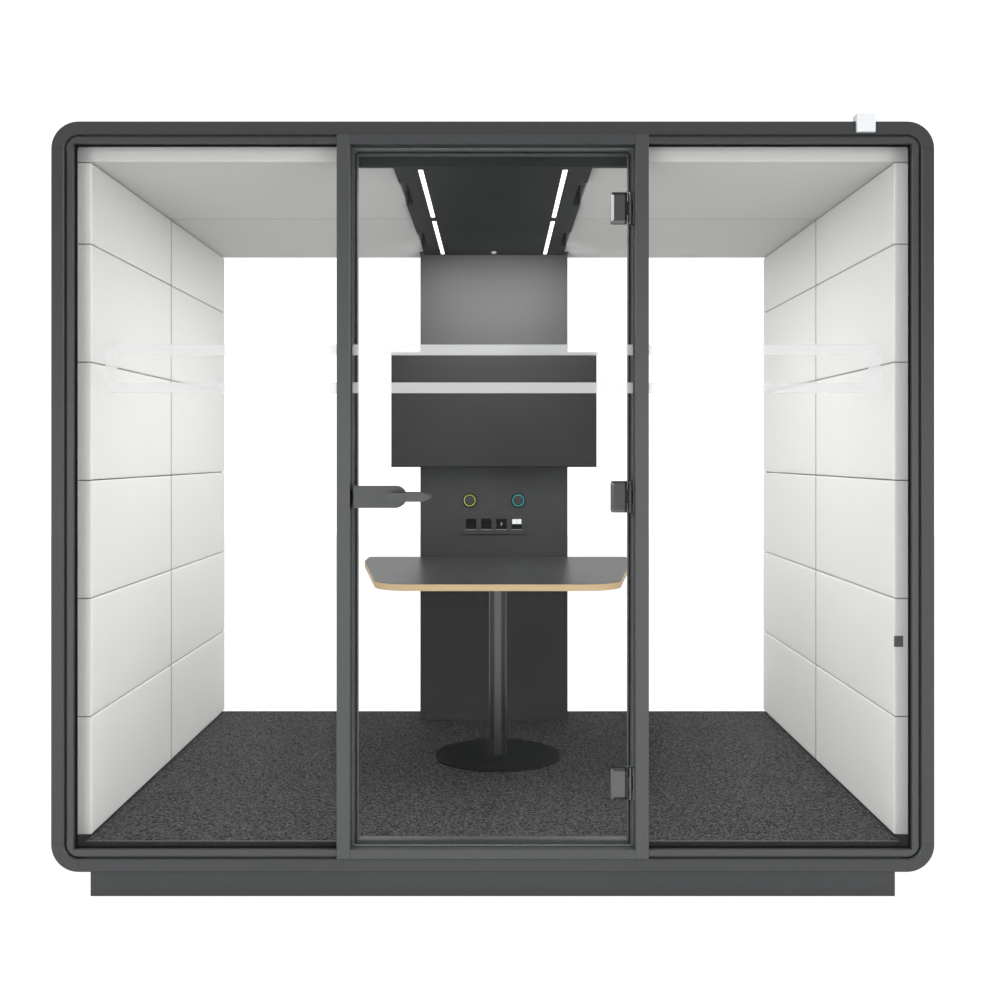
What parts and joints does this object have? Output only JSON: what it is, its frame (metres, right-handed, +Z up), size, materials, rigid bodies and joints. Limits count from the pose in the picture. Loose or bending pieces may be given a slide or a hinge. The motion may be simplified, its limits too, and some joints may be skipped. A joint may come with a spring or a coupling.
{
  "type": "acoustic office pod",
  "caption": "Free-standing glazed meeting pod with a rounded frame, swing glass door, padded walls, lit canopy, media column with screen and a table on a round foot.",
  "frame": {"origin": "on the floor at the middle of the plinth", "axes": "+X to the right seen from the door side, -Y out of the door, +Z up"},
  "size_m": [2.628, 1.9573, 2.328],
  "materials": {
    "frame_paint": "satin charcoal powder coat",
    "panel_board": "board faced in charcoal laminate",
    "base_steel": "black powder coat",
    "bead_paint": "satin charcoal",
    "gasket_rubber": "black gasket",
    "clear_glass": "clear laminated",
    "sill_metal": "satin grey",
    "hinge_metal": "satin grey",
    "pin_steel": "ground",
    "wall_fabric": "off-white woven",
    "ceiling_fabric": "light grey woven",
    "carpet": "dark loop pile",
    "floor_wood": "black-faced plywood",
    "canopy_paint": "matt charcoal",
    "light_strip": "opal diffuser, lit",
    "white_plastic": "plain white",
    "black_plastic": "matt black",
    "column_board": "charcoal laminate",
    "screen_glass": "dark satin screen",
    "lime_ring": "yellow-green light ring",
    "teal_ring": "teal light ring",
    "table_ply": "lacquered plywood",
    "table_laminate": "charcoal laminate",
    "foot_paint": "gloss black"
  },
  "bodies": {
    "pod": {"frame_rails": "frame_paint", "frame_corners": "frame_paint", "edge_rails": "frame_paint", "door_posts": "frame_paint", "door_head": "frame_paint", "door_sill": "frame_paint", "side_panels": "panel_board", "roof_panels": "panel_board", "plinth_boards": "panel_board", "media_rear_panel": "panel_board", "rear_mullions": "panel_board", "base_rails": "base_steel", "tv_bracket": "base_steel", "table_mount_plate": "base_steel", "fan_housings": "base_steel", "glazing_beads": "bead_paint", "glazing_stops": "bead_paint", "glass_gaskets": "gasket_rubber", "door_seals": "gasket_rubber", "glass_panes": "clear_glass", "sill_strips": "sill_metal", "hinge_frame_leaves": "hinge_metal", "strike_keeper": "hinge_metal", "hinge_pins": "pin_steel", "wall_pads": "wall_fabric", "ceiling_pads": "ceiling_fabric", "carpet_tiles": "carpet", "floor_board": "floor_wood", "floor_pan": "floor_wood", "ceiling_canopy": "canopy_paint", "led_diffusers": "light_strip", "status_light": "white_plastic", "motion_sensor": "white_plastic", "button_bezels": "black_plastic", "socket_modules": "black_plastic", "power_inlet": "black_plastic", "tv_shell": "black_plastic", "media_front_panel": "column_board", "media_side_boards": "column_board", "socket_plate": "column_board", "tv_screen": "screen_glass", "light_ring": "lime_ring", "fan_ring": "teal_ring", "table_core": "table_ply", "table_laminate": "table_laminate", "table_base": "foot_paint", "table_leg": "foot_paint"},
    "door": {"door_glass": "clear_glass", "hinge_door_leaves": "hinge_metal", "hinge_clamp_plates": "hinge_metal", "lock_cases": "hinge_metal"},
    "lever": {"lever_handles": "hinge_metal", "lever_spindle": "pin_steel"},
    "latch": {"latch_bolt": "pin_steel"},
    "light_key": {"light_button": "black_plastic"},
    "fan_key": {"fan_button": "black_plastic"},
    "rocker": {"rocker_switch": "white_plastic"},
    "fan_wheel_left": {"fan_rotor_left": "black_plastic"},
    "fan_wheel_right": {"fan_rotor_right": "black_plastic"}
  },
  "joints": [
    {"name": "door_swing", "type": "hinge", "parent": "pod", "child": "door", "pos_m": [0.413, -0.932, 1.19], "axis": [0, 0, 1], "range_deg": [0, 90]},
    {"name": "lever_turn", "type": "hinge", "parent": "door", "child": "lever", "pos_m": [-0.297, -0.932, 1.19], "axis": [0, 1, 0], "range_deg": [0, 40], "stiffness_Nm_per_rad": 2.5, "springref_deg": -17.19},
    {"name": "latch_slide", "type": "slide", "parent": "door", "child": "latch", "axis": [1, 0, 0], "range_m": [0, 0.008]},
    {"name": "light_button_press", "type": "slide", "parent": "pod", "child": "light_key", "axis": [0, 1, 0], "range_m": [0, 0.0025], "stiffness_N_per_m": 400, "springref_m": -0.002},
    {"name": "fan_button_press", "type": "slide", "parent": "pod", "child": "fan_key", "axis": [0, 1, 0], "range_m": [0, 0.0025], "stiffness_N_per_m": 400, "springref_m": -0.002},
    {"name": "rocker_tilt", "type": "hinge", "parent": "pod", "child": "rocker", "pos_m": [0.1005, 0.742, 1.022], "axis": [1, 0, 0], "range_deg": [-4, 4]},
    {"name": "fan_spin_left", "type": "hinge", "parent": "pod", "child": "fan_wheel_left", "pos_m": [-0.263, -0.471, 2.228], "axis": [1, 0, 0], "continuous": true},
    {"name": "fan_spin_right", "type": "hinge", "parent": "pod", "child": "fan_wheel_right", "pos_m": [0.263, -0.471, 2.228], "axis": [1, 0, 0], "continuous": true}
  ],
  "couplings": [
    {"joint": "latch_slide", "follows": "lever_turn", "m_per_rad": 0.01145}
  ]
}
